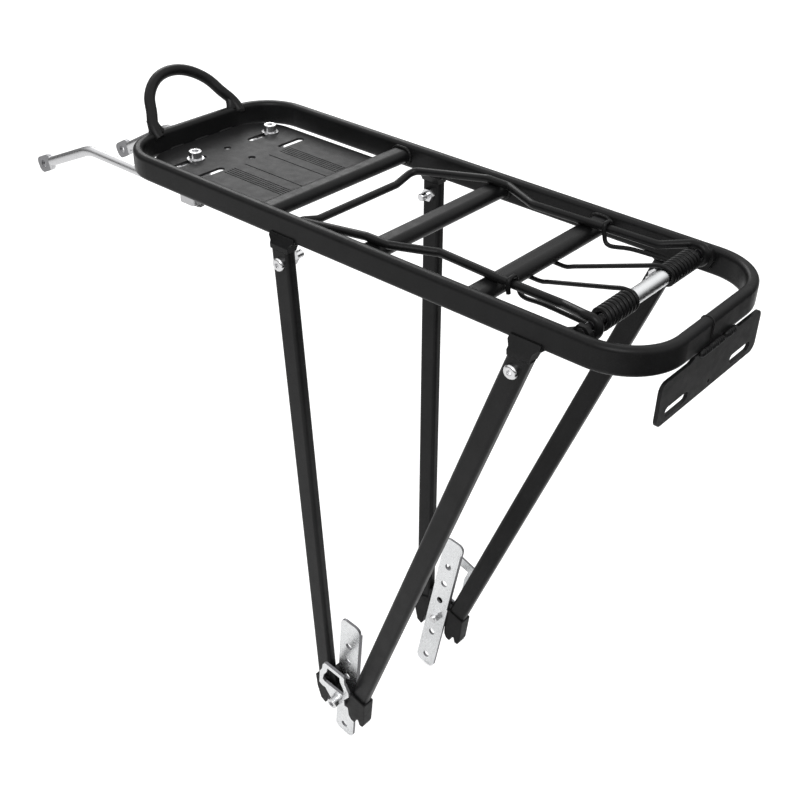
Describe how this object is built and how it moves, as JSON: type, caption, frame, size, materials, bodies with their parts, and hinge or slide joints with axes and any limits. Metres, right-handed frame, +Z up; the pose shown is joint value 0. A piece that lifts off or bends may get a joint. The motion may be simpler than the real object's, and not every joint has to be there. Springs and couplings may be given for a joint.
{
  "type": "bicycle rear rack",
  "caption": "Bicycle rear luggage rack: tubular platform loop with cross bars, folding spring clip, front hoop, four legs on adjustable feet and two sliding stays.",
  "frame": {"origin": "midway between the lowest holes of the two adjuster straps, where the rack bolts to the bicycle's dropout eyelets", "axes": "+X towards the front of the bicycle, +Y to its left, +Z up"},
  "size_m": [0.5434, 0.1582, 0.4659],
  "materials": {
    "black_tube": "satin black powder coat on aluminium tube",
    "black_plate": "satin black powder coat on sheet",
    "black_foot": "satin black coat on pressed foot",
    "black_wire": "semi-gloss black on spring wire",
    "axle_steel": "plain steel",
    "bright_sleeve": "bright zinc tube",
    "zinc_strip": "bright zinc-plated strip",
    "zinc_fastener": "zinc-plated screw",
    "clamp_metal": "satin cast metal",
    "stay_rod": "satin bright rod"
  },
  "bodies": {
    "frame": {"platform_loop": "black_tube", "crossbar_front": "black_tube", "crossbar_middle": "black_tube", "crossbar_rear": "black_tube", "front_hoop": "black_tube", "front_plate": "black_plate", "rear_light_plate": "black_plate", "front_leg_tab_left": "black_tube", "front_leg_tab_right": "black_tube", "rear_leg_tab_left": "black_tube", "rear_leg_tab_right": "black_tube", "front_leg_left": "black_tube", "front_leg_right": "black_tube", "rear_leg_left": "black_tube", "rear_leg_right": "black_tube", "leg_bolts": "zinc_fastener", "leg_nuts": "zinc_fastener", "foot_bracket_left": "black_foot", "foot_bracket_right": "black_foot", "adjuster_strap_left": "zinc_strip", "adjuster_strap_right": "zinc_strip", "foot_bolts": "zinc_fastener", "foot_washers": "zinc_fastener", "foot_nuts": "zinc_fastener", "clip_axle": "axle_steel", "axle_sleeve": "bright_sleeve", "axle_bracket_left": "black_tube", "axle_bracket_right": "black_tube", "torsion_spring_left": "black_wire", "torsion_spring_right": "black_wire"},
    "clip": {"clip_frame": "black_wire"},
    "hook_left": {"cord_hook_left": "zinc_strip"},
    "hook_right": {"cord_hook_right": "zinc_strip"},
    "clamp_bolt_left": {"clamp_bolt_left": "zinc_fastener", "clamp_nut_left": "zinc_fastener", "clamp_washer_left": "zinc_fastener"},
    "clamp_blocks_left": {"clamp_upper_left": "clamp_metal", "clamp_lower_left": "clamp_metal"},
    "stay_left": {"stay_left": "stay_rod"},
    "clamp_bolt_right": {"clamp_bolt_right": "zinc_fastener", "clamp_nut_right": "zinc_fastener", "clamp_washer_right": "zinc_fastener"},
    "clamp_blocks_right": {"clamp_upper_right": "clamp_metal", "clamp_lower_right": "clamp_metal"},
    "stay_right": {"stay_right": "stay_rod"}
  },
  "joints": [
    {"name": "clip_hinge", "type": "hinge", "parent": "frame", "child": "clip", "pos_m": [-0.1707, 0, 0.4242], "axis": [0, -1, 0], "range_deg": [0, 95], "deforming": ["torsion_spring_left", "torsion_spring_right"]},
    {"name": "hook_turn_left", "type": "hinge", "parent": "frame", "child": "hook_left", "pos_m": [-0.00533, 0.06315, 0.04317], "axis": [0, 0.9971, -0.0767], "range_deg": [-30, 30]},
    {"name": "hook_turn_right", "type": "hinge", "parent": "frame", "child": "hook_right", "pos_m": [-0.00533, -0.06315, 0.04317], "axis": [0, 0.9971, 0.0767], "range_deg": [-30, 30]},
    {"name": "clamp_slide_left", "type": "slide", "parent": "frame", "child": "clamp_bolt_left", "axis": [0, 1, 0], "range_m": [-0.0058, 0.0173]},
    {"name": "clamp_swivel_left", "type": "hinge", "parent": "clamp_bolt_left", "child": "clamp_blocks_left", "pos_m": [0.153, 0.028, 0.401], "axis": [0, 0, 1], "range_deg": [-5, 20]},
    {"name": "stay_reach_left", "type": "slide", "parent": "clamp_blocks_left", "child": "stay_left", "axis": [1, 0, 0], "range_m": [-0.04, 0.008]},
    {"name": "clamp_slide_right", "type": "slide", "parent": "frame", "child": "clamp_bolt_right", "axis": [0, 1, 0], "range_m": [-0.0053, 0.0178]},
    {"name": "clamp_swivel_right", "type": "hinge", "parent": "clamp_bolt_right", "child": "clamp_blocks_right", "pos_m": [0.153, -0.04, 0.401], "axis": [0, 0, 1], "range_deg": [-20, 5]},
    {"name": "stay_reach_right", "type": "slide", "parent": "clamp_blocks_right", "child": "stay_right", "axis": [1, 0, 0], "range_m": [-0.04, 0.008]}
  ]
}
